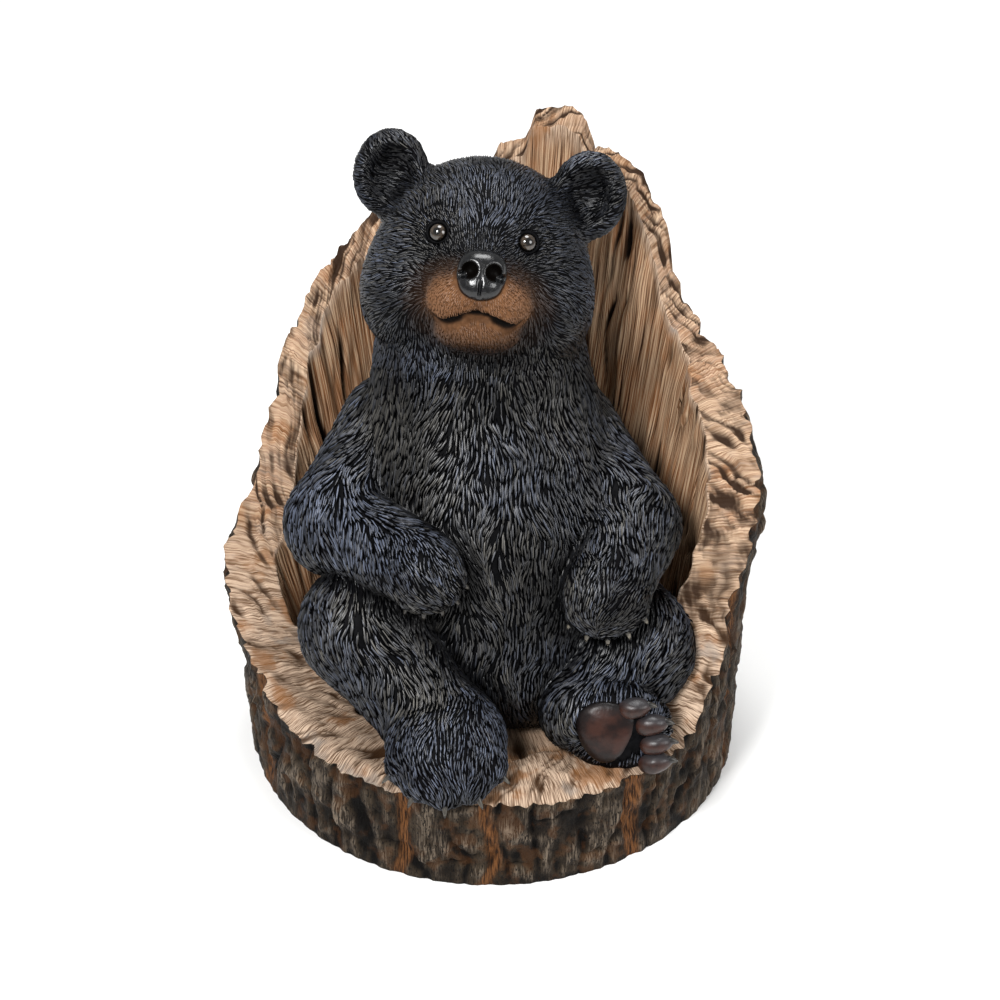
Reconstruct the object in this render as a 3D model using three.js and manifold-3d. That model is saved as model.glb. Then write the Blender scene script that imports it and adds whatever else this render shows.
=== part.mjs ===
// A resin bear cub that leans back in a hollowed tree stump, cast in one piece, with two glass eyes.
// Millimetres, +Z up. The cub faces -Y, and its left and right are the viewer's.
// The origin is the middle of the underside.
import * as THREE from 'three';
import { mergeVertices } from 'three/addons/utils/BufferGeometryUtils.js';
import Module from 'manifold-3d';

const wasm = await Module();
wasm.setup();

// Driving dimensions of the stump
const STUMP_RADIUS = 160; // bark at the ground
const STUMP_TAPER = 0.028; // radius lost for each millimetre above TAPER_START
const TAPER_START = 120;
const SEAT_HEIGHT = 56; // floor of the hollow
const FLOOR_RADIUS = 88;
const LIP_FALL = { back: 6.3, front: 9 }; // fall of the edge from bark to hollow
const FRONT_SPAN = 75; // degrees to each side that count as the front
const BACK_SPAN = 70;
const FOOT_THICKNESS = { side: 38, front: 56, back: 64 }; // the wall where it meets the seat
const BARK_DEPTH = 6; // furrows between the bark's ridges
const GRAIN_DEPTH = 4; // grooves between the fibres of the hollow
const SPLINTER = 5; // ups and downs of the broken edge
const SPLINTERS_ABOVE = 85; // the worn front lip has none
const FURROW_EVERY = 3; // columns of the stump's skin from furrow to furrow
const BURLS = [ // swellings of the bark: angle, height, swell
  { angle: 2, height: 178, swell: 13 },
  { angle: 177, height: 118, swell: 13 },
];
const BURL_WIDTH = 17; // degrees
const BURL_RISE = 41;
// Broken edge by angle, anticlockwise from +X, with the front at -90 and 270: height, then thickness
const BROKEN_EDGE = [
  [-90, 71, 50], [-60, 70, 50], [-41, 72, 46], [-28, 104, 40], [-20, 146, 36], [-8, 190, 31], [2, 218, 28],
  [10, 234, 26], [22, 245, 24], [28, 250, 17], [40, 274, 15], [45, 318, 15], [53, 346, 15], [65, 354, 15],
  [66, 374, 15], [72, 378, 15], [80, 375, 15], [81, 352, 15], [88, 350, 15], [91, 338, 15], [105, 325, 15],
  [120, 309, 15], [136, 278, 16], [141, 262, 17], [150, 236, 20], [154, 204, 22], [160, 182, 25],
  [172, 142, 31], [186, 110, 38], [195, 98, 42], [215, 80, 48], [235, 72, 50], [270, 71, 50],
];

// Driving dimensions of the cub
const LEAN = -22; // degrees that the trunk leans back
const HEAD_CENTRE = [-7, 50, 318];
const HEAD_PITCH = 32; // degrees that the face looks up
const HEAD_ROLL = 6.5; // degrees that the head tips to the viewer's right
const EYE_RADIUS = 6;
const EYE_SPREAD = 26; // from the middle of the face
const EYE_HEIGHT = 16; // above the head's centre
const MUZZLE_ASIDE = 2; // the muzzle turns a little to the viewer's right
const EYE_SET_IN = 3.2; // the eye's centre lies this far behind the face
const SOCKET_GAP = 0.3;
const LOCK_DEPTH = 6; // from a lock's groove to its tip
const CLAW_LENGTH = 10;
const CLAW_RADIUS = 2.7;
const TOE_RADII = [10, 6.5, 7]; // along the toe, across the sole, out of the sole

const rad = THREE.MathUtils.degToRad;
const vec = (p) => new THREE.Vector3(...p);
const euler = (x, y, z) => new THREE.Euler(rad(x), rad(y), rad(z), 'ZYX');
const turned = (x, y, z) => new THREE.Quaternion().setFromEuler(euler(x, y, z));
const UPRIGHT = turned(0, 0, 0);
const LEANING = turned(LEAN, 0, 0);

// Turns a closed geometry into a solid for joining and cutting.
function solidOf(geometry) {
  geometry.deleteAttribute('normal');
  geometry.deleteAttribute('uv');
  const merged = mergeVertices(geometry, 1e-4);
  const vertProperties = new Float32Array(merged.getAttribute('position').array);
  const triVerts = new Uint32Array(merged.index.array);
  return new wasm.Manifold(new wasm.Mesh({ numProp: 3, vertProperties, triVerts }));
}

function meshOf(solid, name, material) {
  const { numProp, numVert, vertProperties, triVerts } = solid.getMesh();
  const position = new Float32Array(numVert * 3);
  for (let i = 0; i < numVert; i++) {
    position.set(vertProperties.subarray(i * numProp, i * numProp + 3), i * 3);
  }
  const geometry = new THREE.BufferGeometry();
  geometry.setAttribute('position', new THREE.BufferAttribute(position, 3));
  geometry.setIndex(new THREE.BufferAttribute(triVerts, 1));
  geometry.computeVertexNormals();
  const mesh = new THREE.Mesh(geometry, material);
  mesh.name = name;
  return mesh;
}

// A closed skin of columns by rows faces.
// place(u, v, column) gives the point at the shares u around and v from pole to pole.
function skin(columns, rows, place) {
  const geometry = new THREE.SphereGeometry(1, columns, rows);
  const position = geometry.getAttribute('position');
  for (let row = 0; row <= rows; row++) {
    for (let column = 0; column <= columns; column++) {
      const around = column % columns;
      position.setXYZ(row * (columns + 1) + column, ...place(around / columns, row / rows, around));
    }
  }
  return solidOf(geometry);
}

// The direction at the share u around and the angle down from the +Y pole.
function direction(u, down) {
  const around = 2 * Math.PI * u;
  const out = Math.sin(down);
  return new THREE.Vector3(-Math.cos(around) * out, Math.cos(down), Math.sin(around) * out);
}

// A repeatable number from 0 to 1 for a whole number.
function chance(n) {
  const s = Math.sin(n * 12.9898 + 4.1) * 43758.5453;
  return s - Math.floor(s);
}

// Height of the fur over the bare form at a column: odd columns are ridges and even ones grooves.
// Along the hair, from v = 0, each lock swells to its tip and drops to the next. Both poles are smooth.
function lockHeight(column, v, locks) {
  const lock = Math.floor(column / 2);
  const along = (v * locks + 0.5 * (lock % 2) + 0.3 * chance(lock)) % 1;
  const across = column % 2 ? 0.3 + 0.7 * along : 0.25 * along;
  return LOCK_DEPTH * (across - 0.4) * Math.min(1, 6 * v, 6 * (1 - v));
}

// Distance to an ellipsoid, close to true near its surface.
function ellipsoidDistance(point, { centre, sizes, unturn }) {
  const p = point.clone().sub(centre).applyQuaternion(unturn).divide(sizes);
  const k0 = p.length();
  const k1 = p.divide(sizes).length();
  return (k0 * (k0 - 1)) / Math.max(k1, 1e-9);
}

function smoothMin(a, b, blend) {
  const h = Math.max(blend - Math.abs(a - b), 0) / blend;
  return Math.min(a, b) - (h * h * blend) / 4;
}

// The distance to a row of ellipsoids that run into each other.
function blended(forms) {
  const eggs = forms.map(({ at, radii, turn = UPRIGHT, blend }) => (
    { centre: vec(at), sizes: vec(radii), unturn: turn.clone().invert(), blend }));
  return (point) => eggs.reduce((d, form) => smoothMin(d, ellipsoidDistance(point, form), form.blend), 1e3);
}

// The farthest point of a form along a ray, found by stepping in from outside.
function outermost(distance, from, along, reach) {
  let t = reach;
  for (let i = 0; i < 60; i++) {
    const d = distance(from.clone().addScaledVector(along, t));
    if (d < 0.05) break;
    t -= Math.min(0.8 * d, t);
  }
  return t;
}

// A furry form seen from its middle: a skin laid on the blended surface with locks along its meridians.
function furryForm({ distance, centre, turn, reach, columns, rows, locks, smooth = () => 1 }) {
  const middle = vec(centre);
  return skin(columns, rows, (u, v, column) => {
    const ray = direction(u, Math.PI * v).applyQuaternion(turn);
    const t = outermost(distance, middle, ray, reach);
    const bare = middle.clone().addScaledVector(ray, t);
    return bare.addScaledVector(ray, lockHeight(column, v, locks) * smooth(bare));
  });
}

// A limb with round ends from root to tip, with locks that run towards the tip.
function limb(root, tip, rootRadius, tipRadius, columns = 14, rows = 8, locks = 3) {
  const [a, b] = [vec(root), vec(tip)];
  const turn = new THREE.Quaternion().setFromUnitVectors(
    new THREE.Vector3(0, 1, 0), a.clone().sub(b).normalize());
  const cap = 0.28; // share of the rows in each round end
  return skin(columns, rows, (u, v, column) => {
    const shaft = THREE.MathUtils.clamp((v - cap) / (1 - 2 * cap), 0, 1);
    const inCap = v < cap ? v / cap : v > 1 - cap ? 1 + (v - 1 + cap) / cap : 1;
    const radius = THREE.MathUtils.lerp(rootRadius, tipRadius, shaft) + lockHeight(column, v, locks);
    const out = direction(u, (inCap * Math.PI) / 2).applyQuaternion(turn);
    return a.clone().lerp(b, shaft).addScaledVector(out, radius);
  });
}

// A plain or furry egg. Its local +Y is the pole that the fur grows from.
function egg({ at, radii, turn = UPRIGHT }, columns, rows, locks = 0) {
  return skin(columns, rows, (u, v, column) => {
    const out = direction(u, Math.PI * v);
    const fur = locks ? lockHeight(column, v, locks) : 0;
    const point = out.clone().multiply(vec(radii)).addScaledVector(out, fur);
    return point.applyQuaternion(turn).add(vec(at));
  });
}

// A claw whose middle is at a point.
function claw(middle, towards) {
  const along = vec(towards).normalize();
  const cone = new THREE.ConeGeometry(CLAW_RADIUS, CLAW_LENGTH, 5);
  cone.applyQuaternion(new THREE.Quaternion().setFromUnitVectors(new THREE.Vector3(0, 1, 0), along));
  cone.translate(...middle);
  return solidOf(cone);
}

// Claws in a fan on an egg: they spread to both sides of the way that the fan faces, by degrees.
function clawFan({ at, radii, turn = UPRIGHT }, { facing, across, spread, count }) {
  return Array.from({ length: count }, (_, i) => {
    const angle = rad(THREE.MathUtils.lerp(-spread, spread, i / (count - 1)));
    const out = vec(facing).normalize().multiplyScalar(Math.cos(angle));
    out.addScaledVector(vec(across).normalize(), Math.sin(angle)).normalize();
    const reach = 1 / out.clone().applyQuaternion(turn.clone().invert()).divide(vec(radii)).length();
    return claw(vec(at).addScaledVector(out, reach), out.toArray());
  });
}

const joined = (solids) => solids.reduce((all, solid) => all.add(solid));

// Stump

// Height and thickness of the broken edge at an angle in degrees.
function brokenEdge(angle) {
  const a = ((((angle + 90) % 360) + 360) % 360) - 90;
  const next = Math.max(BROKEN_EDGE.findIndex(([at]) => at >= a), 1);
  const [from, to] = [BROKEN_EDGE[next - 1], BROKEN_EDGE[next]];
  const share = (a - from[0]) / (to[0] - from[0]);
  return [1, 2].map((i) => THREE.MathUtils.lerp(from[i], to[i], share));
}

// Ups and downs of the broken edge at a column of the skin.
function splinter(column, height) {
  return height > SPLINTERS_ABOVE ? SPLINTER * (chance(column + 60) - 0.5) : 0;
}

// How near an angle is to another, from 1 to 0, within a width in degrees.
function nearness(angle, to, width) {
  const apart = ((((angle - to + 180) % 360) + 360) % 360) - 180;
  return Math.exp(-((apart / width) ** 2));
}

function barkRadius(angle, height) {
  const burls = BURLS.map((b) =>
    b.swell * nearness(angle, b.angle, BURL_WIDTH) * Math.exp(-(((height - b.height) / BURL_RISE) ** 2)));
  const taper = STUMP_TAPER * Math.max(height - TAPER_START, 0);
  return STUMP_RADIUS - taper + burls.reduce((sum, swell) => sum + swell, 0);
}

// The hollow stump as one skin: out over the seat, up the hollow, over the edge, down the bark and under.
function stump() {
  const columns = 66;
  const rows = { floor: 1, wall: 5, edge: 2, bark: 5, foot: 1 };
  const count = Object.values(rows).reduce((a, b) => a + b);
  const ends = Object.values(rows).map((_, i, all) => all.slice(0, i + 1).reduce((a, b) => a + b));
  return skin(columns, count, (u, v, column) => {
    const angle = 360 * u + 180;
    const row = Math.round(v * count);
    const front = nearness(angle, 270, FRONT_SPAN);
    const back = nearness(angle, 90, BACK_SPAN);
    const [edge, thick] = brokenEdge(angle);
    const top = edge + splinter(column, edge);
    const inner = top - THREE.MathUtils.lerp(LIP_FALL.back, LIP_FALL.front, front);
    const innerTop = barkRadius(angle, top) - thick;
    const { side } = FOOT_THICKNESS;
    const footThick = side + (FOOT_THICKNESS.back - side) * back + (FOOT_THICKNESS.front - side) * front;
    const innerFoot = barkRadius(angle, top) - footThick;
    const isFurrow = column % FURROW_EVERY === 0;
    const groove = isFurrow ? 0.6 + 0.4 * chance(column * 7 + row) : 0.3 * chance(column + row);
    let radius;
    let height;
    if (row <= ends[0]) {
      radius = (FLOOR_RADIUS * row) / rows.floor;
      height = SEAT_HEIGHT;
    } else if (row <= ends[1]) {
      const t = (row - ends[0]) / rows.wall;
      height = SEAT_HEIGHT + (inner - SEAT_HEIGHT) * t;
      radius = innerFoot + (innerTop - innerFoot) * t + GRAIN_DEPTH * groove;
    } else if (row <= ends[2]) {
      const t = (row - ends[1]) / rows.edge;
      height = inner + (top - inner) * t;
      radius = innerTop + (barkRadius(angle, top) - innerTop) * t;
    } else if (row <= ends[3]) {
      height = top * (1 - (row - ends[2]) / rows.bark);
      radius = barkRadius(angle, height) - BARK_DEPTH * groove;
    } else {
      const t = (row - ends[3]) / rows.foot;
      height = 0;
      radius = (barkRadius(angle, 0) - BARK_DEPTH * groove) * (1 - t);
    }
    return [radius * Math.cos(rad(angle)), radius * Math.sin(rad(angle)), height];
  });
}

// Cub

const TRUNK = [
  { at: [4, 12, 106], radii: [92, 84, 62], blend: 30 }, // seat and hips
  { at: [12, -30, 95], radii: [58, 66, 52], blend: 24 }, // lower belly
  { at: [2, 0, 155], radii: [86, 76, 92], turn: LEANING, blend: 30 }, // belly
  { at: [-6, 34, 215], radii: [72, 62, 74], turn: LEANING, blend: 30 }, // chest
  { at: [-8, 46, 268], radii: [62, 56, 50], turn: LEANING, blend: 24 }, // neck
  { at: [-4, 70, 190], radii: [62, 52, 104], turn: LEANING, blend: 24 }, // back, against the stump
];

function trunk() {
  return furryForm({
    distance: blended(TRUNK), centre: [0, 18, 170], turn: turned(90 + LEAN, 0, 0), reach: 190,
    columns: 38, rows: 18, locks: 6,
  });
}

// The head's own frame: x to the viewer's right, y up, z forward out of the face.
const HEAD_TURN = new THREE.Quaternion()
  .setFromAxisAngle(new THREE.Vector3(1, 0, 0), rad(90 - HEAD_PITCH))
  .multiply(new THREE.Quaternion().setFromAxisAngle(new THREE.Vector3(0, 0, 1), rad(-HEAD_ROLL)));
const aside = (form) => ({ ...form, at: [form.at[0] + MUZZLE_ASIDE, ...form.at.slice(1)] });
const bothSides = (form) => [-1, 1].map((side) => (
  { ...form, at: [side * form.at[0], ...form.at.slice(1)] }));
const SKULL = [
  { at: [0, 10, -8], radii: [62, 57, 56], blend: 20 },
  ...bothSides({ at: [40, -20, 4], radii: [32, 36, 36], blend: 24 }), // cheeks
  { at: [0, 16, 20], radii: [42, 34, 32], blend: 20 }, // brow
  ...[
    { at: [0, -16, 44], radii: [28, 24, 34], blend: 16 }, // muzzle
    ...bothSides({ at: [13, -23, 57], radii: [16.5, 15, 20], blend: 8 }), // lips
    { at: [0, -40, 42], radii: [24, 12, 28], blend: 8 }, // jaw
    { at: [0, -6, 74], radii: [16, 13, 12], blend: 5 }, // nose
  ].map(aside),
];
const EAR = { at: [61, 51, -6], radii: [22, 26, 14] };
const EAR_HOLLOW = { at: [60, 49, 9], radii: [15, 18, 14] };
const NOSTRIL = { at: [7.5, -6, 84], radii: [4.5, 4.5, 6] };
const MOUTH = [[-27, -31, 56], [-17, -35, 69], [0, -29, 75], [20, -34, 69], [27, -30, 58]];
const MOUTH_WIDTH = 2;

const skullDistance = blended(SKULL);

// How far the face stands out at a place across and up.
function faceDepth(across, up) {
  return outermost(skullDistance, vec([across, up, 0]), vec([0, 0, 1]), 110);
}

const EYES = [-1, 1].map((side) => {
  const across = side * EYE_SPREAD;
  return [across, EYE_HEIGHT, faceDepth(across, EYE_HEIGHT) - EYE_SET_IN];
});

function placedOnHead(solid) {
  const m = new THREE.Matrix4().compose(vec(HEAD_CENTRE), HEAD_TURN, new THREE.Vector3(1, 1, 1));
  return solid.transform(m.elements);
}

function mouthGroove() {
  const curve = new THREE.CatmullRomCurve3(MOUTH.map(([x, y, z]) => vec([x + MUZZLE_ASIDE, y, z])));
  const section = new THREE.Shape().absarc(0, 0, MOUTH_WIDTH, 0, 2 * Math.PI);
  return solidOf(new THREE.ExtrudeGeometry(section, { steps: 10, curveSegments: 3, extrudePath: curve }));
}

function head() {
  const fromNose = turned(90, 0, 0); // the fur grows from the nose, at local +Y
  const smoothFace = (p) => THREE.MathUtils.clamp((30 - p.z) / 40, 0, 1);
  const skull = furryForm({
    distance: skullDistance, centre: [0, -8, 0], turn: fromNose, reach: 130,
    columns: 36, rows: 19, locks: 6, smooth: smoothFace,
  });
  const ears = bothSides(EAR).map((form) => egg(form, 12, 7));
  const hollows = [
    ...bothSides(EAR_HOLLOW).map((form) => egg(form, 9, 6)),
    ...bothSides(NOSTRIL).map(aside).map((form) => egg(form, 6, 4)),
    ...EYES.map((at) => egg({ at, radii: Array(3).fill(EYE_RADIUS + SOCKET_GAP) }, 12, 8)),
    mouthGroove(),
  ];
  return placedOnHead(joined([skull, ...ears]).subtract(joined(hollows)));
}

const ARMS = {
  left: {
    shoulder: [-60, 40, 204], elbow: [-95, -18, 174], paw: [-41, -77, 183], pawRadius: 23,
    claws: { facing: [0.4, -0.5, -0.75], across: [0.85, 0, 0.4], spread: 48, count: 5 },
  },
  right: {
    shoulder: [44, 40, 200], elbow: [83, -24, 175], paw: [69, -72, 163], pawRadius: 26,
    claws: { facing: [0.05, -0.6, -0.8], across: [1, 0, 0.1], spread: 62, count: 5 },
  },
};
const ARM_RADII = { shoulder: 36, elbow: 31 };

function arm({ shoulder, elbow, paw, pawRadius, claws }) {
  return joined([
    limb(shoulder, elbow, ARM_RADII.shoulder, ARM_RADII.elbow),
    limb(elbow, paw, ARM_RADII.elbow, pawRadius),
    ...clawFan({ at: paw, radii: Array(3).fill(pawRadius) }, claws),
  ]);
}

const LEGS = {
  left: { hip: [-55, 20, 95], knee: [-78, -62, 126], ankle: [-42, -100, 90], radii: [50, 38, 28] },
  right: { hip: [50, 20, 92], knee: [88, -56, 104], ankle: [58, -92, 86], radii: [48, 38, 28] },
};
const FLAT_FOOT = { at: [-28, -126, 90], radii: [36, 40, 25], turn: turned(14, 0, 8) };
const FLAT_FOOT_CLAWS = { facing: [0, -0.8, -0.6], across: [1, 0, 0], spread: 55, count: 5 };
// The raised foot shows its sole. Its own frame: x along the toes, -y out of the sole, z up the sole.
const RAISED_FOOT = { at: [76, -110, 87], radii: [34, 17, 28], turn: turned(-23, 0, -4) };
const SOLE_PAD = { at: [-6, -13, 0], radii: [18, 7, 19] };
const TOES = [[11, 16], [22, 6], [25, -6], [25, -18]]; // along the toes and up the sole
const TOE_OUT = -13; // out of the sole
const TOE_RISE = -12; // degrees that each toe points up

function leg({ hip, knee, ankle, radii }) {
  return joined([
    limb(hip, knee, radii[0], radii[1]),
    limb(knee, ankle, radii[1], radii[2]),
  ]);
}

function flatFoot() {
  return joined([egg(FLAT_FOOT, 16, 9, 3), ...clawFan(FLAT_FOOT, FLAT_FOOT_CLAWS)]);
}

function raisedFoot() {
  const onFoot = (p) => vec(p).applyQuaternion(RAISED_FOOT.turn).add(vec(RAISED_FOOT.at)).toArray();
  const toeTurn = RAISED_FOOT.turn.clone().multiply(turned(0, TOE_RISE, 0));
  const alongToe = new THREE.Vector3(1, 0, 0).applyQuaternion(toeTurn).toArray();
  const toeRadii = [TOE_RADII[0], TOE_RADII[2], TOE_RADII[1]];
  const toes = TOES.flatMap(([along, up]) => [
    egg({ at: onFoot([along, TOE_OUT, up]), radii: toeRadii, turn: toeTurn }, 7, 5),
    claw(onFoot([along + TOE_RADII[0], TOE_OUT, up + 2]), alongToe),
  ]);
  const pad = egg({ at: onFoot(SOLE_PAD.at), radii: SOLE_PAD.radii, turn: RAISED_FOOT.turn }, 12, 7);
  return joined([egg(RAISED_FOOT, 16, 8), pad, ...toes]);
}

function cub() {
  const limbs = [...Object.values(ARMS).map(arm), ...Object.values(LEGS).map(leg)];
  return joined([trunk(), head(), ...limbs, flatFoot(), raisedFoot()]);
}

// Assembly
const resin = new THREE.MeshStandardMaterial({ color: 0x3a322c, roughness: 0.6, metalness: 0 });
const glass = new THREE.MeshStandardMaterial({ color: 0x16120e, roughness: 0.05, metalness: 0 });

const part = new THREE.Group();
part.add(meshOf(stump().add(cub()), 'bear_in_stump', resin));
EYES.forEach((at, i) => {
  const ball = placedOnHead(egg({ at, radii: Array(3).fill(EYE_RADIUS) }, 10, 7));
  part.add(meshOf(ball, i ? 'right_eye' : 'left_eye', glass));
});

export default part;
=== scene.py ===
from functools import partial
import bpy
import numpy as np
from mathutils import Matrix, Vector


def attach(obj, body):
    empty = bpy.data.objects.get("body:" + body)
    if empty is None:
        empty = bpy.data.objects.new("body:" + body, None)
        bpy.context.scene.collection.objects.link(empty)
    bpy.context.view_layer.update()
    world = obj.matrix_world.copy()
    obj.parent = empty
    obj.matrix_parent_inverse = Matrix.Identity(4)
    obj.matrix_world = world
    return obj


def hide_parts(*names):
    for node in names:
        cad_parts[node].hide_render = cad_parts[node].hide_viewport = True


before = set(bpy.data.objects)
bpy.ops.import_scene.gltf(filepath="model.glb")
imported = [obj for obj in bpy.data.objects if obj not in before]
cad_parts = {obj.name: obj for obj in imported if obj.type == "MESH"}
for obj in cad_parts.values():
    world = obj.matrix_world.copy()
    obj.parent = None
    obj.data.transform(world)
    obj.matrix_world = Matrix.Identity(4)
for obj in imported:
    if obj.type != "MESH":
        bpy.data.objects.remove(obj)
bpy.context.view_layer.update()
mm = 0.001  # shapes are worked out in millimetres and stored in metres
rng = np.random.default_rng(11)

# the cub faces -Y; left and right are the viewer's


def turned(x=0.0, y=0.0, z=0.0):
    # matrix that turns about x, then y, then z, in degrees; its columns are the turned axes
    (cx, sx), (cy, sy), (cz, sz) = ((np.cos(a), np.sin(a)) for a in np.radians((x, y, z)))
    aboutX = np.array([[1, 0, 0], [0, cx, -sx], [0, sx, cx]])
    aboutY = np.array([[cy, 0, sy], [0, 1, 0], [-sy, 0, cy]])
    aboutZ = np.array([[cz, -sz, 0], [sz, cz, 0], [0, 0, 1]])
    return aboutZ @ aboutY @ aboutX


def unit(vectors):
    return vectors / np.maximum(np.linalg.norm(vectors, axis=-1, keepdims=True), 1e-9)


def step(low, high, x):
    # 0 below low, 1 above high, and an S-curve between them
    t = np.clip((x - low) / (high - low), 0, 1)
    return t * t * (3 - 2 * t)


def chance(i, j, k, seed):
    # a repeatable number from -1 to 1 for each whole-number place
    n = (i * 374761393 + j * 668265263 + k * 1440662683 + seed * 974634777) & 0xFFFFFFFF
    n = ((n ^ (n >> 13)) * 1274126177) & 0xFFFFFFFF
    return ((n ^ (n >> 16)) & 0xFFFF) / 32767.5 - 1


def noise(points, seed=0):
    # value noise: the chances of a cell's eight corners, blended by S-curve weights
    cell = np.floor(points).astype(np.int64)
    f = points - cell
    f = f * f * (3 - 2 * f)
    total = np.zeros(points.shape[:-1])
    for dx in (0, 1):
        for dy in (0, 1):
            for dz in (0, 1):
                weight = np.where(dx, f[..., 0], 1 - f[..., 0])
                weight = weight * np.where(dy, f[..., 1], 1 - f[..., 1])
                weight = weight * np.where(dz, f[..., 2], 1 - f[..., 2])
                total += weight * chance(cell[..., 0] + dx, cell[..., 1] + dy, cell[..., 2] + dz, seed)
    return total


def roughNoise(points, seed=0, octaves=3):
    # noise summed over octaves, each twice as fine and half as high
    return sum(noise(points * 2**o, seed + 31 * o) / 2**o for o in range(octaves))


# distances to forms, in millimetres, negative inside


def egg(points, at, radii, turn=None):
    # ellipsoid: k (k - 1) over the gradient's length, close to true near the surface
    q = points - np.array(at, float)
    if turn is not None:
        q = q @ turn
    radii = np.array(radii, float)
    k0 = np.linalg.norm(q / radii, axis=-1)
    k1 = np.linalg.norm(q / radii**2, axis=-1)
    return k0 * (k0 - 1) / np.maximum(k1, 1e-9)


def limb(points, a, b, ra, rb):
    # round cone: nearest place along the bone, less the radius there
    a, b = np.array(a, float), np.array(b, float)
    bone = b - a
    lengthSquared = bone @ bone
    slope = (ra - rb) / np.sqrt(lengthSquared)
    along = (points - a) @ bone / lengthSquared
    off = np.linalg.norm(points - a - along[..., None] * bone, axis=-1)
    along = np.clip(along + off * slope / np.sqrt(1 - slope**2) / np.sqrt(lengthSquared), 0, 1)
    return np.linalg.norm(points - a - along[..., None] * bone, axis=-1) - ra - along * (rb - ra)


def melt(a, b, blend):
    # smaller of two distances, rounded where they are within blend of each other
    h = np.maximum(blend - np.abs(a - b), 0) / blend
    return np.minimum(a, b) - h * h * blend / 4


def carve(a, b, blend):
    return -melt(-a, b, blend)  # a less b


# cub: the solid's forms, with toes on the paws


cub = dict(
    lean=turned(x=-22),
    trunk=[  # place, radii, leaning, blend
        ((4, 12, 106), (92, 84, 62), False, 30),
        ((12, -30, 95), (58, 66, 52), False, 24),
        ((2, 0, 155), (86, 76, 92), True, 30),
        ((-6, 34, 215), (72, 62, 74), True, 30),
        ((-8, 46, 268), (62, 56, 50), True, 24),
        ((-4, 70, 190), (62, 52, 104), True, 24),
    ],
    bones=dict(  # ends and their radii
        leftUpperArm=((-60, 40, 204), (-95, -18, 174), 36, 31),
        leftForearm=((-95, -18, 174), (-41, -77, 183), 31, 23),
        rightUpperArm=((44, 40, 200), (83, -24, 175), 36, 31),
        rightForearm=((83, -24, 175), (69, -72, 163), 31, 26),
        leftThigh=((-55, 20, 95), (-78, -62, 126), 50, 38),
        leftShin=((-78, -62, 126), (-42, -97, 93), 38, 31),
        rightThigh=((50, 20, 92), (88, -56, 104), 48, 38),
        rightShin=((88, -56, 104), (58, -92, 86), 38, 28),
    ),
    flatFoot=dict(at=(-28, -126, 90), radii=(36, 40, 25), turn=turned(x=14, z=8)),
    raisedFoot=dict(at=(76, -110, 87), radii=(34, 17, 28), turn=turned(x=-23, z=-4)),
    jointBlend=10, footBlend=4, limbBlend=4, neckBlend=6, toeBlend=5,  # how softly forms run together
)

fans = dict(  # toes and claws spread to both sides of the way that a paw faces
    leftForearm=dict(
        at=cub["bones"]["leftForearm"][1], radii=(23, 23, 23), facing=(0.4, -0.5, -0.75),
        across=(0.85, 0, 0.4), spread=48, toe=8.5, inset=5.5, tip=0.1, claw=5.5,
    ),
    rightForearm=dict(
        at=cub["bones"]["rightForearm"][1], radii=(26, 26, 26), facing=(0.05, -0.6, -0.8),
        across=(1, 0, 0.1), spread=50, toe=9, inset=6, tip=0.5, claw=5,
    ),
    flatFoot=dict(
        at=cub["flatFoot"]["at"], radii=cub["flatFoot"]["radii"], turn=cub["flatFoot"]["turn"],
        facing=(0, -0.92, -0.4), across=(1, 0, 0), spread=55, toe=11, inset=6, tip=0.2, claw=9,
    ),
)


def clawRoots(fan):
    # where each claw leaves the paw, and the way that it points
    facing, across = unit(np.array(fan["facing"], float)), unit(np.array(fan["across"], float))
    for angle in np.radians(np.linspace(-fan["spread"], fan["spread"], 5)):
        out = unit(np.cos(angle) * facing + np.sin(angle) * across)
        reach = 1 / np.linalg.norm((out @ fan.get("turn", np.eye(3))) / np.array(fan["radii"], float))
        yield np.array(fan["at"], float) + out * reach, out


head = dict(
    centre=np.array((-7.0, 50.0, 318.0)),
    pitch=32,  # degrees that the face looks up
    roll=6.5,  # degrees that it tips to the right
    aside=2,  # the muzzle turns a little to the right
    eyeSpread=26,
    eyeHeight=16,
    eyeRadius=6,
    eyeSetIn=3.2,
    forms=[  # place, radii, blend, whether it turns aside with the muzzle; x is mirrored
        ((0, 10, -8), (61, 57, 56), 1, False),  # skull
        ((39, -20, 4), (31, 36, 36), 24, False),  # cheeks
        ((0, 16, 20), (42, 34, 32), 20, False),  # brow
        ((0, -16, 44), (28, 24, 34), 16, True),  # muzzle
        ((13, -23, 57), (16.5, 15, 20), 8, True),  # lips
        ((0, -40, 42), (24, 12, 28), 8, True),  # jaw
    ],
    ear=dict(at=(61, 51, -6), radii=(22, 26, 14)),
    earHollow=dict(at=(60, 49, 7), radii=(15, 18, 14)),
    earPaintedShade=dict(at=(60, 49, 5), radii=(15, 18, 16)),  # painted shade: less grey on the fur inside the ear's hollow
    mouth=((-26, -30.5), (-16, -35), (1.8, -29.2), (21, -34.2), (29, -30)),  # across and up
    mouthGroove=2.2, mouthDepth=0.4, mouthBare=4.6,
    mouthOpening=dict(at=(1.8, -31.8, 76), radii=(11, 2.8, 7)),
    philtrum=((2, -17, 80), (1.8, -29, 76)), philtrumGroove=0.9,
    tanPlaces=(  # lips and chin: place, radii
        ((14.5, -23, 64), (17, 13.5, 24)), ((0, -39.5, 58), (22, 8, 24)),
    ),
)
pitch, roll = np.radians((head["pitch"], head["roll"]))
faceUp = np.array((0, np.sin(pitch), np.cos(pitch)))
faceOut = np.array((0, -np.cos(pitch), np.sin(pitch)))
faceRight = np.array((np.cos(roll), 0, 0)) - faceUp * np.sin(roll)
faceUp = np.array((np.sin(roll), 0, 0)) + faceUp * np.cos(roll)
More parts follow.
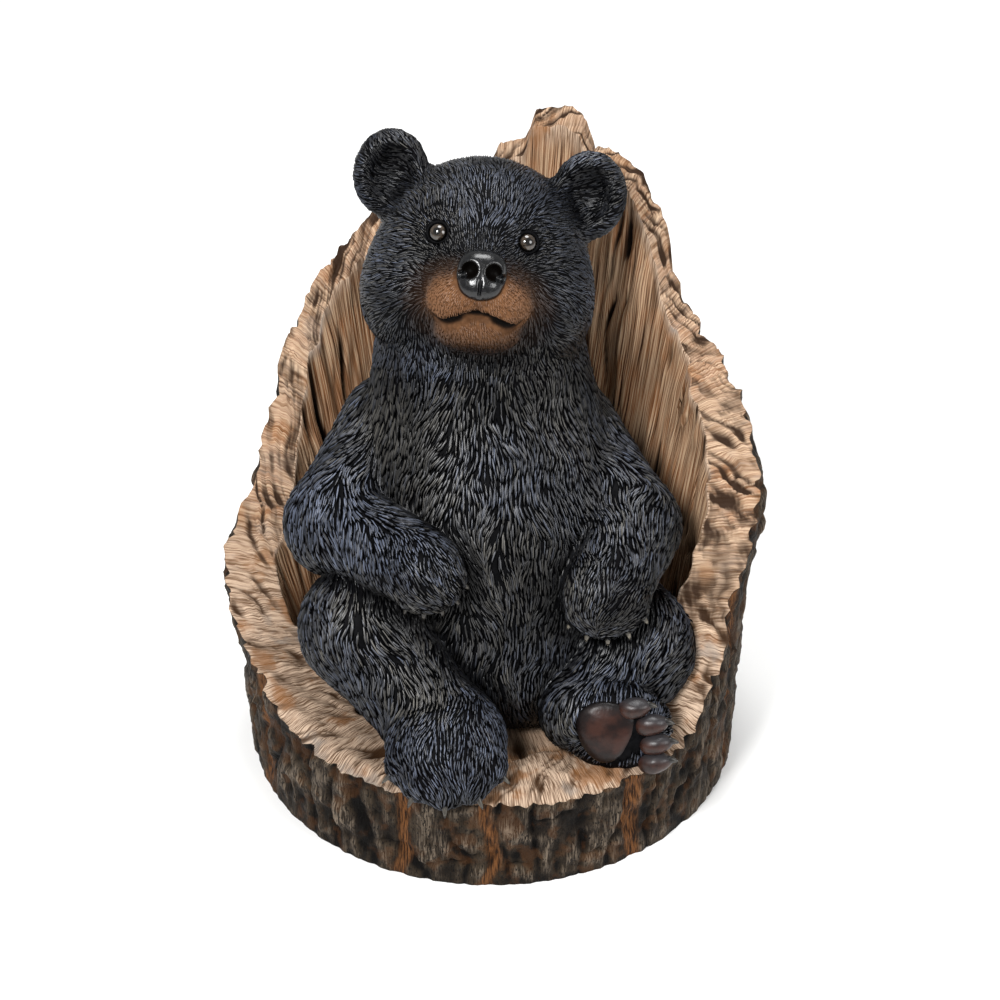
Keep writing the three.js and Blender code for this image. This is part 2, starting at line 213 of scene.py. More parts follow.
head["axes"] = np.stack([faceRight, faceUp, faceOut], 1)


def toHead(points):
    return (points - head["centre"]) @ head["axes"]


def onHead(points):
    return np.asarray(points, float) @ head["axes"].T + head["centre"]


def mouthCurve(count):
    # smooth curve through the mouth's points, laid on the face: cubic through each four neighbours
    p = np.array(head["mouth"], float)
    p = np.concatenate([2 * p[:1] - p[1:2], p, 2 * p[-1:] - p[-2:-1]])
    t = np.linspace(0, len(p) - 3, count, endpoint=False)
    i, f = t.astype(int), (t % 1)[:, None]
    a, b, c, d = p[i], p[i + 1], p[i + 2], p[i + 3]
    curve = b + f * (c - a + f * (2 * a - 5 * b + 4 * c - d + f * (3 * b - a - 3 * c + d))) / 2
    return np.array([(x, y, faceDepth(x, y) - head["mouthDepth"]) for x, y in curve])


def alongLine(points, line):
    # distance to a line of points
    best = np.full(points.shape[:-1], 1e3)
    for a, b in zip(line[:-1], line[1:]):
        bone = b - a
        t = np.clip((points - a) @ bone / (bone @ bone), 0, 1)
        best = np.minimum(best, np.linalg.norm(points - a - t[..., None] * bone, axis=-1))
    return best


def mirrored(q, aside=0.0):
    # both halves of the face as one, about a middle that may lie aside
    return np.stack([np.abs(q[..., 0] - aside), q[..., 1], q[..., 2]], -1)


def skullDistance(q):
    # skull, cheeks, brow, muzzle, lips and jaw, in the head's own frame
    straight, turnedAside = mirrored(q), mirrored(q, head["aside"])
    d = np.full(q.shape[:-1], 1e3)
    for at, radii, blend, aside in head["forms"]:
        d = melt(d, egg(turnedAside if aside else straight, at, radii), blend)
    return d


def earDistance(q):
    m = mirrored(q)
    return carve(egg(m, **head["ear"]), egg(m, **head["earHollow"]), 5)


def nearMouth(q):
    return (np.abs(q[..., 0]) < 45) & (q[..., 1] < 0) & (q[..., 2] > 30)


def faceDepth(across, up):
    # how far the face stands out at a place, found by stepping in from the front
    q = np.array([[across, up, 110.0]])
    for _ in range(60):
        q[0, 2] -= 0.8 * skullDistance(q)[0]
    return q[0, 2]


head["mouthLine"] = mouthCurve(28)
head["eyes"] = [np.array((side * head["eyeSpread"], head["eyeHeight"], 0.0)) for side in (-1, 1)]
for eye in head["eyes"]:
    eye[2] = faceDepth(eye[0], eye[1]) - head["eyeSetIn"]


def headDistance(points):
    q = toHead(points)
    d = melt(skullDistance(q), earDistance(q), 10)
    for eye in head["eyes"]:
        d = carve(d, np.linalg.norm(q - eye, axis=-1) - head["eyeRadius"] - 1, 3)
    near = nearMouth(q)
    if near.any():
        groove = alongLine(q[near], head["mouthLine"]) - head["mouthGroove"]
        philtrum = alongLine(q[near], np.array(head["philtrum"], float)) - head["philtrumGroove"]
        d[near] = carve(carve(d[near], groove, 2), philtrum, 1.5)
        d[near] = carve(d[near], egg(q[near], **head["mouthOpening"]), 1.5)
    return d


def trunkDistance(points):
    d = np.full(points.shape[:-1], 1e3)
    for at, radii, leaning, blend in cub["trunk"]:
        d = melt(d, egg(points, at, radii, cub["lean"] if leaning else None), blend)
    return d


def cubDistances(points):
    # one distance for each part that has its own lie of fur
    parts = {name: limb(points, *bone) for name, bone in cub["bones"].items()}
    parts["flatFoot"] = egg(points, **cub["flatFoot"])
    for name, fan in fans.items():
        for root, out in clawRoots(fan):
            toe = np.linalg.norm(points - (root - fan["inset"] * out), axis=-1) - fan["toe"]
            parts[name] = melt(parts[name], toe, cub["toeBlend"])
    parts["raisedFoot"] = egg(points, **cub["raisedFoot"])
    parts["trunk"] = trunkDistance(points)
    parts["head"] = headDistance(points)
    return parts


def joinedCub(parts):
    d = parts["trunk"]
    pairs = (
        ("leftUpperArm", "leftForearm", None), ("rightUpperArm", "rightForearm", None),
        ("leftThigh", "leftShin", "flatFoot"), ("rightThigh", "rightShin", "raisedFoot"),
    )
    for upper, lower, foot in pairs:
        whole = melt(parts[upper], parts[lower], cub["jointBlend"])
        if foot:
            whole = melt(whole, parts[foot], cub["footBlend"])
        d = melt(d, whole, cub["limbBlend"])
    return melt(d, parts["head"], cub["neckBlend"])


def cubDistance(points):
    return joinedCub(cubDistances(points))


def outward(distance, points, reach=0.6):
    # surface direction: four samples at the corners of a small tetrahedron
    corners = np.array(((1, -1, -1), (-1, -1, 1), (-1, 1, -1), (1, 1, 1)), float)
    return unit(sum(c * distance(points + reach * c)[..., None] for c in corners))


def surfaceNet(distance, low, high, cell):
    # closed quad mesh of a form: one vertex in each cell that the surface crosses,
    # at the mean of the crossings
    low = np.array(low, float)
    count = np.ceil((np.array(high, float) - low) / cell).astype(int) + 1
    axes = [low[i] + cell * np.arange(count[i]) for i in range(3)]
    field = np.empty(count)
    for i in range(0, count[0], 16):
        grid = np.meshgrid(axes[0][i:i + 16], axes[1], axes[2], indexing="ij")
        field[i:i + 16] = distance(np.stack(grid, -1))
    inside = field < 0

    def corner(d):
        return tuple(slice(d[i], count[i] - 1 + d[i]) for i in range(3))

    total = sum(inside[corner((a, b, c))].astype(int) for a in (0, 1) for b in (0, 1) for c in (0, 1))
    active = (total > 0) & (total < 8)
    place, crossings = np.zeros(active.shape + (3,)), np.zeros(active.shape)
    for axis in range(3):
        others = [d for d in range(3) if d != axis]
        for b in (0, 1):
            for c in (0, 1):
                start = [0, 0, 0]
                start[others[0]], start[others[1]] = b, c
                end = list(start)
                end[axis] = 1
                f0, f1 = field[corner(start)], field[corner(end)]
                crosses = (f0 < 0) != (f1 < 0)
                t = np.where(crosses, f0 / np.where(crosses, f0 - f1, 1), 0)
                crossings += crosses
                for d in range(3):
                    place[..., d] += np.where(crosses, start[d] + (t if d == axis else 0), 0)
    index = np.full(active.shape, -1)
    index[active] = np.arange(active.sum())
    points = low + cell * (np.argwhere(active) + place[active] / crossings[active][:, None])
    quads = []
    for axis in range(3):
        u, v = (axis + 1) % 3, (axis + 2) % 3
        before, after = [slice(1, -1)] * 3, [slice(1, -1)] * 3
        before[axis], after[axis] = slice(0, count[axis] - 1), slice(1, count[axis])
        a, b = inside[tuple(before)], inside[tuple(after)]
        for leaving in (True, False):
            edge = np.argwhere((a & ~b) if leaving else (~a & b))

            def cellAt(du, dv):
                q = edge.copy()
                q[:, u] += 1 - du
                q[:, v] += 1 - dv
                return index[tuple(q.T)]

            ring = [cellAt(1, 1), cellAt(0, 1), cellAt(0, 0), cellAt(1, 0)]
            quads.append(np.stack(ring if leaving else ring[::-1], 1))
    return points, np.concatenate(quads)


# meshes


def addPiece(
    name, points, faces, materials, values=None, faceMaterial=None,
    stands="bear_in_stump",
):
    # points in millimetres; faces as arrays of corner numbers; values are named numbers at the points
    mesh = bpy.data.meshes.new(name)
    groups = [np.asarray(f) for f in (faces if isinstance(faces, (list, tuple)) else [faces])]
    corners = np.concatenate([g.ravel() for g in groups])
    sizes = np.concatenate([np.full(len(g), g.shape[1]) for g in groups])
    mesh.vertices.add(len(points))
    mesh.vertices.foreach_set("co", (np.asarray(points) * mm).astype(np.float32).ravel())
    mesh.loops.add(len(corners))
    mesh.loops.foreach_set("vertex_index", corners.astype(np.int32))
    mesh.polygons.add(len(sizes))
    mesh.polygons.foreach_set("loop_start", np.concatenate([[0], np.cumsum(sizes)[:-1]]).astype(np.int32))
    mesh.polygons.foreach_set("use_smooth", np.ones(len(sizes), bool))
    for material in materials:
        mesh.materials.append(material)
    if faceMaterial is not None:
        mesh.polygons.foreach_set("material_index", faceMaterial.astype(np.int32))
    for key, value in (values or {}).items():
        value = np.asarray(value, np.float32)
        isVector = value.ndim == 2
        attribute = mesh.attributes.new(key, "FLOAT_VECTOR" if isVector else "FLOAT", "POINT")
        attribute.data.foreach_set("vector" if isVector else "value", value.ravel())
    mesh.update(calc_edges=True)
    piece = bpy.data.objects.new(name, mesh)
    bpy.context.scene.collection.objects.link(piece)
    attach(piece, "root")
    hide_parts(stands)
    print(name, len(points), "points", int((sizes - 2).sum()), "triangles")


def ringFaces(rows, columns):
    # quads of a grid that closes on itself along its columns
    i, j = np.meshgrid(np.arange(rows - 1), np.arange(columns), indexing="ij")
    k = (j + 1) % columns
    low, high = i * columns, (i + 1) * columns
    return np.stack([low + j, low + k, high + k, high + j], -1).reshape(-1, 4)


def poleFaces(pole, ring, flip=False):
    after = np.roll(ring, -1)
    pole = np.full(len(ring), pole)
    return np.stack([pole, after, ring] if flip else [pole, ring, after], 1)


# materials


def linear(hexColour):
    # sRGB hex to linear light
    c = np.array([int(hexColour[i:i + 2], 16) for i in (1, 3, 5)]) / 255
    c = np.where(c <= 0.04045, c / 12.92, ((c + 0.055) / 1.055) ** 2.4)
    return (*c, 1.0)


def addNode(tree, kind, inputs=None, out=0, **settings):
    # inputs are values, hex colours or the sockets of other nodes; gives back one of the node's outputs
    node = tree.nodes.new("ShaderNode" + kind)
    for key, value in settings.items():
        setattr(node, key, value)
    for key, value in (inputs or {}).items():
        if isinstance(value, bpy.types.NodeSocket):
            tree.links.new(value, node.inputs[key])
        else:
            node.inputs[key].default_value = linear(value) if isinstance(value, str) else value
    return node.outputs[out]


def startMaterial(name, constants):
    # gives back the material, a function that adds nodes to it and one that links a socket to its shader
    material = bpy.data.materials.new(name)
    material.use_nodes = True
    tree = material.node_tree
    shader = tree.nodes["Principled BSDF"]
    for key, value in constants.items():
        shader.inputs[key].default_value = value

    def link(value, key):
        tree.links.new(value, shader.inputs[key])

    return material, partial(addNode, tree), link


eased = dict(interpolation_type="SMOOTHSTEP")  # Map Range: reads from 1 to 2, gives 3 to 4
colours = dict(out=2, data_type="RGBA")  # Mix: 0 is the share, 6 and 7 the two colours
amount = dict(out="Fac")  # an attribute or a noise as one number


def patches(vector, sizeMm, detail=3.0):
    # noise inputs for patches about sizeMm across
    return {"Vector": vector, "Scale": 1 / (sizeMm * mm), "Detail": detail}


def blotches(add, sizeMm, low, high, detail=3.0, most=1.0):
    # a share from 0 to most, in soft blotches about sizeMm across
    speckle = add("TexNoise", patches(add("TexCoord", out="Object"), sizeMm, detail), **amount)
    return add("MapRange", {0: speckle, 1: low, 2: high, 3: 0.0, 4: most}, **eased)


def fibres(add, sizeMm, stretch, detail):
    # noise drawn out along the wood's grain
    grain = add("Attribute", out="Vector", attribute_name="fibre")
    drawnOut = add("Mapping", {"Vector": grain, "Scale": (1, 1, 1 / stretch)})
    return add("TexNoise", patches(drawnOut, sizeMm, detail), **amount)


def furPaint():
    # cast resin in black satin paint, grey-blue brushed over the strands' crests, so that grooves stay black;
    # the brushed share also carries painted light on lamp-facing strands and limbs, and painted shade in
    # creases and ears
    material, add, link = startMaterial("black painted resin fur", {"Roughness": 0.36, "IOR": 1.48})
    names = ("crest", "pale", "tan", "warm")
    crest, pale, tan, warm = (add("Attribute", attribute_name=n, **amount) for n in names)
    grit = blotches(add, 2.5, 0.3, 0.7)
    brushAndPaintedLight = add("Mix", {0: warm, 6: "#687083", 7: "#6d6a64"}, **colours)  # cool to warm grey of the brushed paint and the painted light
    ground = add("Mix", {0: grit, 6: "#020203", 7: "#070709"}, **colours)
    top = add("MapRange", {0: crest, 1: 0.58, 2: 1.0}, **eased)
    # pale is brushed grey with painted light and painted shade in it
    share = add("Math", {0: top, 1: pale}, operation="MULTIPLY")
    black = add("Mix", {0: share, 6: ground, 7: brushAndPaintedLight}, **colours)
    tanLow = add("Mix", {0: grit, 6: "#3c2617", 7: "#4e3422"}, **colours)
    tanTop = add("MapRange", {0: crest, 1: 0.0, 2: 1.0}, **eased)
    tanFur = add("Mix", {0: tanTop, 6: tanLow, 7: "#7b573c"}, **colours)
    link(add("Mix", {0: tan, 6: black, 7: tanFur}, **colours), "Base Color")
    gloss = add("MapRange", {0: crest, 1: 0.4, 2: 1.0, 3: 0.03, 4: 0.42}, **eased)  # grooves are dull
    link(gloss, "Specular IOR Level")
    return material


def skinPaint():
    # the ground between the strands: black paint, tan on the muzzle, a dark mouth
    matt = {"Roughness": 0.55, "IOR": 1.48, "Specular IOR Level": 0.04}
    material, add, link = startMaterial("black painted resin ground", matt)
    tan, dark = (add("Attribute", attribute_name=n, **amount) for n in ("tan", "dark"))
    grit = blotches(add, 3.0, 0.3, 0.7)
    black = add("Mix", {0: grit, 6: "#030304", 7: "#0a0a0c"}, **colours)
    tanPaint = add("Mix", {0: grit, 6: "#593c27", 7: "#6e4d34"}, **colours)
    muzzle = add("Mix", {0: tan, 6: black, 7: tanPaint}, **colours)
    link(add("Mix", {0: dark, 6: muzzle, 7: "#060403"}, **colours), "Base Color")
    return material


def barkPaint():
    # weathered bark: dark brown plates, grey-tan brushed over their ridges, rust in the split channels
    matt = {"Roughness": 0.6, "IOR": 1.48, "Specular IOR Level": 0.1}
    material, add, link = startMaterial("painted resin bark", matt)
    relief, rust = (add("Attribute", attribute_name=n, **amount) for n in ("relief", "rust"))
    strand, crackle = fibres(add, 1.0, 1.1, 5.0), fibres(add, 0.8, 0.35, 5.0)
    body = add("Mix", {0: blotches(add, 24, 0.35, 0.65), 6: "#1c1611", 7: "#32291f"}, **colours)
    raised = add("MapRange", {0: relief, 1: 0.08, 2: 0.45}, **eased)
    plates = add("Mix", {0: raised, 6: "#080605", 7: body}, **colours)
    ridge = add("MapRange", {0: relief, 1: 0.35, 2: 0.85}, **eased)
    streak = add("MapRange", {0: strand, 1: 0.4, 2: 0.64}, **eased)
    lifted = add("Math", {0: ridge, 1: streak}, operation="MULTIPLY")
    brushed = add("Mix", {0: lifted, 6: plates, 7: "#75685a"}, **colours)
    cracks = add("MapRange", {0: crackle, 1: 0.46, 2: 0.36}, **eased)
    cracked = add("Mix", {0: cracks, 6: brushed, 7: "#0c0907"}, **colours)
    tinge = blotches(add, 14, 0.5, 0.62, 4.0, 0.2)
    tinged = add("Mix", {0: tinge, 6: cracked, 7: "#6a4322"}, **colours)
    rustStreak = add("MapRange", {0: strand, 1: 0.35, 2: 0.65}, **eased)
    rusty = add("Mix", {0: rustStreak, 6: "#1d110a", 7: "#70492a"}, **colours)
    link(add("Mix", {0: rust, 6: tinged, 7: rusty}, **colours), "Base Color")
    height = add("Math", {0: strand, 1: crackle}, operation="ADD")
    link(add("Bump", {"Height": height, "Distance": 1.1 * mm, "Strength": 1.0}), "Normal")
    return material


def woodPaint():
    # torn heartwood: dark grooves, honey fibres and straw-coloured fibres on the broken edge
    matt = {"Roughness": 0.6, "IOR": 1.48, "Specular IOR Level": 0.12}
    material, add, link = startMaterial("painted resin torn wood", matt)
    relief, edge = (add("Attribute", attribute_name=n, **amount) for n in ("relief", "edge"))
    strand, tuft = fibres(add, 0.8, 7.0, 4.0), fibres(add, 0.6, 2.4, 4.0)
    honey = add("Mix", {0: blotches(add, 34, 0.4, 0.6), 6: "#84644a", 7: "#8b5d3b"}, **colours)
    pale = add("MapRange", {0: strand, 1: 0.42, 2: 0.68}, **eased)
    streaked = add("Mix", {0: pale, 6: honey, 7: "#c9ab8c"}, **colours)
    deep = add("MapRange", {0: strand, 1: 0.48, 2: 0.3}, **eased)
    grained = add("Mix", {0: deep, 6: streaked, 7: "#38241a"}, **colours)
    raised = add("MapRange", {0: relief, 1: 0.1, 2: 0.55}, **eased)
    wall = add("Mix", {0: raised, 6: "#1c1008", 7: grained}, **colours)
    strawShare = add("MapRange", {0: tuft, 1: 0.34, 2: 0.64}, **eased)
    straw = add("Mix", {0: strawShare, 6: "#5c4431", 7: "#c4ab94"}, **colours)
    stained = blotches(add, 20, 0.52, 0.66, 4.0, 0.7)
    orange = add("Mix", {0: stained, 6: straw, 7: "#7e5129"}, **colours)
    weathered = blotches(add, 26, 0.56, 0.7, 3.0, 0.6)
    grey = add("Mix", {0: weathered, 6: orange, 7: "#85807a"}, **colours)
    tornHigh = add("MapRange", {0: relief, 1: 0.1, 2: 0.5}, **eased)
    torn = add("Mix", {0: tornHigh, 6: "#3b2717", 7: grey}, **colours)
    link(add("Mix", {0: edge, 6: wall, 7: torn}, **colours), "Base Color")
    height = add("Mix", {0: edge, 6: strand, 7: tuft}, **colours)
    link(add("Bump", {"Height": height, "Distance": 1.2 * mm, "Strength": 0.9}), "Normal")
    return material


def nosePaint():
    # black gloss paint over fine pebbling
    material, add, link = startMaterial("gloss black nose paint", {"Roughness": 0.24})
    pebble = add("TexNoise", patches(add("TexCoord", out="Object"), 1.6, 2.0), **amount)
    share = add("MapRange", {0: pebble, 1: 0.4, 2: 0.7}, **eased)
    link(add("Mix", {0: share, 6: "#050506", 7: "#101114"}, **colours), "Base Color")
    link(add("Bump", {"Height": pebble, "Distance": 0.3 * mm, "Strength": 0.5}), "Normal")
    return material


def soleSkin(name, ior, specular, blotch, browns, edgeAndHighlightColour, pebble):
    # bare skin of the foot: two browns in blotches, another colour where the edge attribute is high (a darker
    # rim on the pad, a painted highlight on the toes), fine pebbling;
    # blotch says what blotches() takes; pebble is a size and a depth in millimetres
    material, add, link = startMaterial(name, {"Roughness": 0.36, "IOR": ior, "Specular IOR Level": specular})
    edge = add("Attribute", attribute_name="edge", **amount)
    brown = add("Mix", {0: blotches(add, *blotch), 6: browns[0], 7: browns[1]}, **colours)
    link(add("Mix", {0: edge, 6: brown, 7: edgeAndHighlightColour}, **colours), "Base Color")
    size, depth = pebble
    height = add("TexNoise", patches(add("TexCoord", out="Object"), size), **amount)
    link(add("Bump", {"Height": height, "Distance": depth * mm, "Strength": 0.5}), "Normal")
    return material


def padPaint():
    # bare sole: reddish brown paint, darker at the edges, a little gloss
    blotch, browns = (12, 0.35, 0.68, 4.0), ("#120807", "#321b14")
    return soleSkin("brown painted resin pad", 1.45, 0.3, blotch, browns, "#0b0808", (2.2, 0.3))


def toePaint():
    # toe: rosy brown below, a painted highlight in grey on top
    blotch, browns = (7, 0.3, 0.7, 3.0), ("#1a0e0b", "#38211a")
    return soleSkin("grey-brown painted resin toe", 1.5, 0.35, blotch, browns, "#2b292b", (2.0, 0.25))


def clawPaint():
    # horn-coloured tips on dark claws
    material, add, link = startMaterial("painted resin claw", {"Roughness": 0.35})
    grain = blotches(add, 3.0, 0.3, 0.7)
    horn = add("Mix", {0: grain, 6: "#6d665c", 7: "#98907f"}, **colours)
    tip = add("Attribute", attribute_name="tip", **amount)
    link(add("Mix", {0: tip, 6: "#0f0d0c", 7: horn}, **colours), "Base Color")
    return material


def eyeGlass():
    # dark brown glass eye, a lighter ring round the pupil under a polished front
    material, add, link = startMaterial("brown glass eye", {
        "Roughness": 0.03, "IOR": 1.52, "Coat Weight": 0.5, "Coat Roughness": 0.02,
    })
    streak = blotches(add, 1.5, 0.3, 0.7)
    brown = add("Mix", {0: streak, 6: "#1c1510", 7: "#3f352a"}, **colours)
    iris = add("Attribute", attribute_name="iris", **amount)
    link(add("Mix", {0: iris, 6: "#050403", 7: brown}, **colours), "Base Color")
    return material


paints = dict(
    fur=furPaint(), skin=skinPaint(), bark=barkPaint(), wood=woodPaint(), nose=nosePaint(),
    pad=padPaint(), toe=toePaint(), claw=clawPaint(), eye=eyeGlass(),
)
print("materials made")

# stump


stump = dict(
    radius=160, taper=0.028, taperStart=120, seat=56,
    footThick=dict(side=38, front=56, back=64), lipFall=(6.3, 9), frontSpan=75, backSpan=70,
    burls=((2, 178, 13), (177, 118, 13)), burlWidth=17, burlRise=41,
    plate=27, plateHeight=58,  # bark plates between cracks
    crack=4.5,
    channels=((250, 5), (270, 4.5), (303, 5), (340, 5), (205, 5)),  # rust-brown splits: degrees, half width
    splinter=3.5, grain=2.4,
    columns=610, rows=dict(floor=9, wall=46, edge=20, bark=79),
    edge=(  # degrees, height and thickness of the broken edge
        (-90, 71, 50), (-60, 70, 50), (-41, 72, 46), (-28, 104, 40), (-20, 146, 36), (-8, 190, 31),
        (2, 218, 28), (10, 234, 26), (22, 245, 24), (28, 250, 17), (40, 274, 15), (45, 318, 15),
        (53, 346, 15), (64, 354, 15), (67, 374, 15), (72, 378, 15), (79, 375, 15), (82, 352, 15),
        (88, 350, 15), (91, 338, 15), (105, 325, 15), (120, 309, 15), (136, 278, 16), (141, 262, 17),
        (150, 236, 20), (154, 204, 22), (160, 182, 25), (172, 142, 31), (186, 110, 38), (195, 98, 42),
        (215, 80, 48), (235, 72, 50), (270, 71, 50),
    ),
)


def apart(angle, to):
    return (angle - to + 180) % 360 - 180


def nearness(angle, to, width):
    return np.exp(-((apart(angle, to) / width) ** 2))


def brokenEdge(angle):
    # height and thickness of the edge
    table = np.array(stump["edge"], float)
    at = (angle + 90) % 360 - 90
    return np.interp(at, table[:, 0], table[:, 1]), np.interp(at, table[:, 0], table[:, 2])


def footThickness(angle):
    side, front, back = (stump["footThick"][k] for k in ("side", "front", "back"))
    front = (front - side) * nearness(angle, 270, stump["frontSpan"])
    return side + front + (back - side) * nearness(angle, 90, stump["backSpan"])


def barkRadius(angle, height):
    burls = sum(
        swell
        * nearness(angle, at, stump["burlWidth"])
        * np.exp(-(((height - rise) / stump["burlRise"]) ** 2))
        for at, rise, swell in stump["burls"]
    )
    return stump["radius"] - stump["taper"] * np.maximum(height - stump["taperStart"], 0) + burls


def onDrum(angle, radius, height):
    # points of a drum: angle in degrees, radius and height
    a = np.radians(angle)
    return np.stack([radius * np.cos(a), radius * np.sin(a), height + 0 * a], -1)


def barkRelief(angle, height):
    # plates with rounded rims between cracks, sharp upright ridges on them, and split channels; returns
    # millimetres above the mean bark, a 0 to 1 share for the paint, and the channels' share
    p = onDrum(angle, stump["radius"], height)
    wander = 15 * noise(p / (34, 34, 48), 3) + 6 * noise(p / (11, 11, 20), 4)
    arc = np.radians(angle) * stump["radius"] + wander
    column = np.floor(arc / stump["plate"])
    across = arc / stump["plate"] - column
    lift = height + 30 * chance(column.astype(np.int64), 0, 0, 8) + 14 * noise(p / (16, 16, 14), 5)
    row = np.floor(lift / stump["plateHeight"])
    upright = lift / stump["plateHeight"] - row
    sideEdge = np.minimum(across, 1 - across) * stump["plate"]
    endEdge = np.minimum(upright, 1 - upright) * stump["plateHeight"]
    plate = step(0, 4.5, sideEdge) * (0.55 + 0.45 * step(0, 5, endEdge))
    plate = plate * (0.75 + 0.25 * chance(column.astype(np.int64), row.astype(np.int64), 1, 9))
    ridge = 1 - 2 * np.abs(noise(p / (8, 8, 24), 10)) - np.abs(noise(p / (3.6, 3.6, 11), 11))
    knob = roughNoise(p / (8, 8, 9), 14, 3)
    bend = 5 * noise(p / 20, 20)
    beside = [np.radians(apart(angle, at)) * stump["radius"] + bend for at, _ in stump["channels"]]
    off = [np.abs(b) / half for b, (_, half) in zip(beside, stump["channels"])]
    channel = step(1.15, 0.5, np.min(off, 0))
    raised = stump["crack"] * (plate - 0.75) * (1 - channel) - 3.0 * channel + 1.7 * ridge + 1.4 * knob
    share = np.clip(0.12 + 0.45 * plate * (1 - 0.4 * channel) + 0.28 * ridge + 0.18 * knob, 0, 1)
    return raised * (0.25 + 0.75 * step(0, 24, height)), share, channel


def stumpPiece():
    # one closed grid: rows go from the seat's middle up the hollow, over the broken edge,
    # down the bark and under
    count = stump["columns"]
    angle = np.arange(count) * 360 / count
    front = nearness(angle, 270, stump["frontSpan"])
    edgeTop, thick = brokenEdge(angle)
    rim = onDrum(angle, stump["radius"], edgeTop)
    splinters = noise(rim / 9, 40) + 0.7 * noise(rim / 3.5, 41)
    top = edgeTop + stump["splinter"] * splinters * step(72, 95, edgeTop)
    inner = top - stump["lipFall"][0] - (stump["lipFall"][1] - stump["lipFall"][0]) * front
    innerTop = barkRadius(angle, top) - thick * (1 + 0.16 * noise(rim / 12, 42))
    innerFoot = barkRadius(angle, top) - footThickness(angle)
    rows, relief, edge, rust = [], [], [], []

    def addRow(radius, height, share, isEdge, channel):
        rows.append(onDrum(angle, radius, height))
        relief.append(share)
        edge.append(isEdge)
        rust.append(channel)

    none = np.zeros(count)
    for t in (np.arange(stump["rows"]["floor"]) + 0.5) / stump["rows"]["floor"]:  # seat
        p = onDrum(angle, t * innerFoot, stump["seat"] + none)
        lump = roughNoise(p / 8, 50, 3)
        addRow(t * innerFoot, stump["seat"] + 1.6 * lump, np.clip(0.5 + 0.4 * lump, 0, 1), none + 0.8, none)
    for t in np.linspace(0, 1, stump["rows"]["wall"]):  # hollow
        height = stump["seat"] + (inner - stump["seat"]) * t
        radius = innerFoot + (innerTop - innerFoot) * t
        p = onDrum(angle, 130, height)
        p = p + np.stack([5 * noise(p / 40, 51), 5 * noise(p / 40, 52), none], -1)
        groove = roughNoise(p / (9, 9, 150), 53, 3)
        cut = step(-0.2, -0.75, noise(p / (3.4, 3.4, 75), 56))
        fade = step(0, 0.12, 1 - t)
        share = np.clip(0.62 + 0.32 * groove - 0.45 * cut, 0, 1)
        grained = radius - stump["grain"] * (groove - cut) * fade
        addRow(grained, height, share, step(0.95, 1.0, t) + none, none)
    for t in np.linspace(0, 1, stump["rows"]["edge"] + 1)[1:]:  # broken edge
        outer = barkRadius(angle, top) + barkRelief(angle, top)[0] * step(0.4, 1, t)
        radius = innerTop + (outer - innerTop) * t
        height = inner + (top - inner) * t - 5 * step(0.72, 1.0, t) ** 2 * step(95, 75, edgeTop)
        p = onDrum(angle, radius, height)
        slant = angle + 10 * t + 4 * noise(p / 22, 61)
        fibre = roughNoise(onDrum(slant, 45, radius / 30), 62, 3)  # fibres run across the edge
        lump = roughNoise(p / 11, 63, 3)
        raised = np.sin(np.pi * t) * (1.8 * fibre + 2.2 * lump)
        share = np.clip(0.5 - 0.1 * step(85, 170, edgeTop) + 0.34 * fibre + 0.26 * lump, 0, 1)
        isEdge = 1 - 0.55 * step(85, 170, edgeTop)  # the upper edge is browner
        addRow(radius, height + raised, share, isEdge, none)
    lip = rows[-1][:, 2]
    firstBark = len(rows)
    for t in np.linspace(1, 0, stump["rows"]["bark"] + 1)[1:]:  # bark
        raised, share, channel = barkRelief(angle, lip * t)
        addRow(barkRadius(angle, lip * t) + raised, lip * t, share, none, channel)
    grid = np.stack(rows)
    along = np.concatenate([np.zeros((1, count)), np.linalg.norm(np.diff(grid, axis=0), axis=2)]).cumsum(0)
    fibre = onDrum(np.broadcast_to(angle, along.shape), stump["radius"], along / 9) * mm
    points = np.concatenate([grid.reshape(-1, 3), [(0, 0, stump["seat"]), (0, 0, 0)]])
    lastRow = (len(rows) - 1) * count + np.arange(count)
    quads = ringFaces(len(rows), count)
    seat, under = len(points) - 2, len(points) - 1
    faces = [quads[:, ::-1], poleFaces(seat, np.arange(count)), poleFaces(under, lastRow, True)]
    barkQuads = np.arange(len(quads)) // count >= firstBark - 1
    isBark = np.concatenate([barkQuads, np.zeros(count), np.ones(count)])
    ends = np.array((0.5, 0.2))
    values = dict(
        relief=np.concatenate([np.concatenate(relief), ends]),
        edge=np.concatenate([np.concatenate(edge), 0 * ends]),
        rust=np.concatenate([np.concatenate(rust), 0 * ends]),
        fibre=np.concatenate([fibre.reshape(-1, 3), np.zeros((2, 3))]),
    )
    addPiece("tree_stump", points, faces, [paints["wood"], paints["bark"]], values, isBark)


stumpPiece()


def insideStump(points, slack=0.0):
    # whether points are buried in the stump's wall or under its seat
    angle = np.degrees(np.arctan2(points[:, 1], points[:, 0]))
    radius = np.hypot(points[:, 0], points[:, 1])
    top, thick = brokenEdge(angle)
    innerTop = barkRadius(angle, top) - thick
    innerFoot = barkRadius(angle, top) - footThickness(angle)
    share = np.clip((points[:, 2] - stump["seat"]) / np.maximum(top - stump["seat"], 1), 0, 1)
    wall = (radius > innerFoot + (innerTop - innerFoot) * share + slack) & (points[:, 2] < top - slack)
    return (wall & (radius < stump["radius"] + 12)) | (points[:, 2] < stump["seat"] - slack)


# cub's skin


skin = dict(
    neck=(np.array((-8.0, 20.0, 268.0)), unit(np.array((0, 0.35, 0.94)))),  # a place and the way up
    head=((-105, -45, 240), (92, 125, 400), 1.3),  # two corners of the box that is meshed, and its cell
    body=((-135, -180, 40), (135, 130, 330), 2.4),
)


def aboveNeck(points):
    at, up = skin["neck"]
    return (points - at) @ up


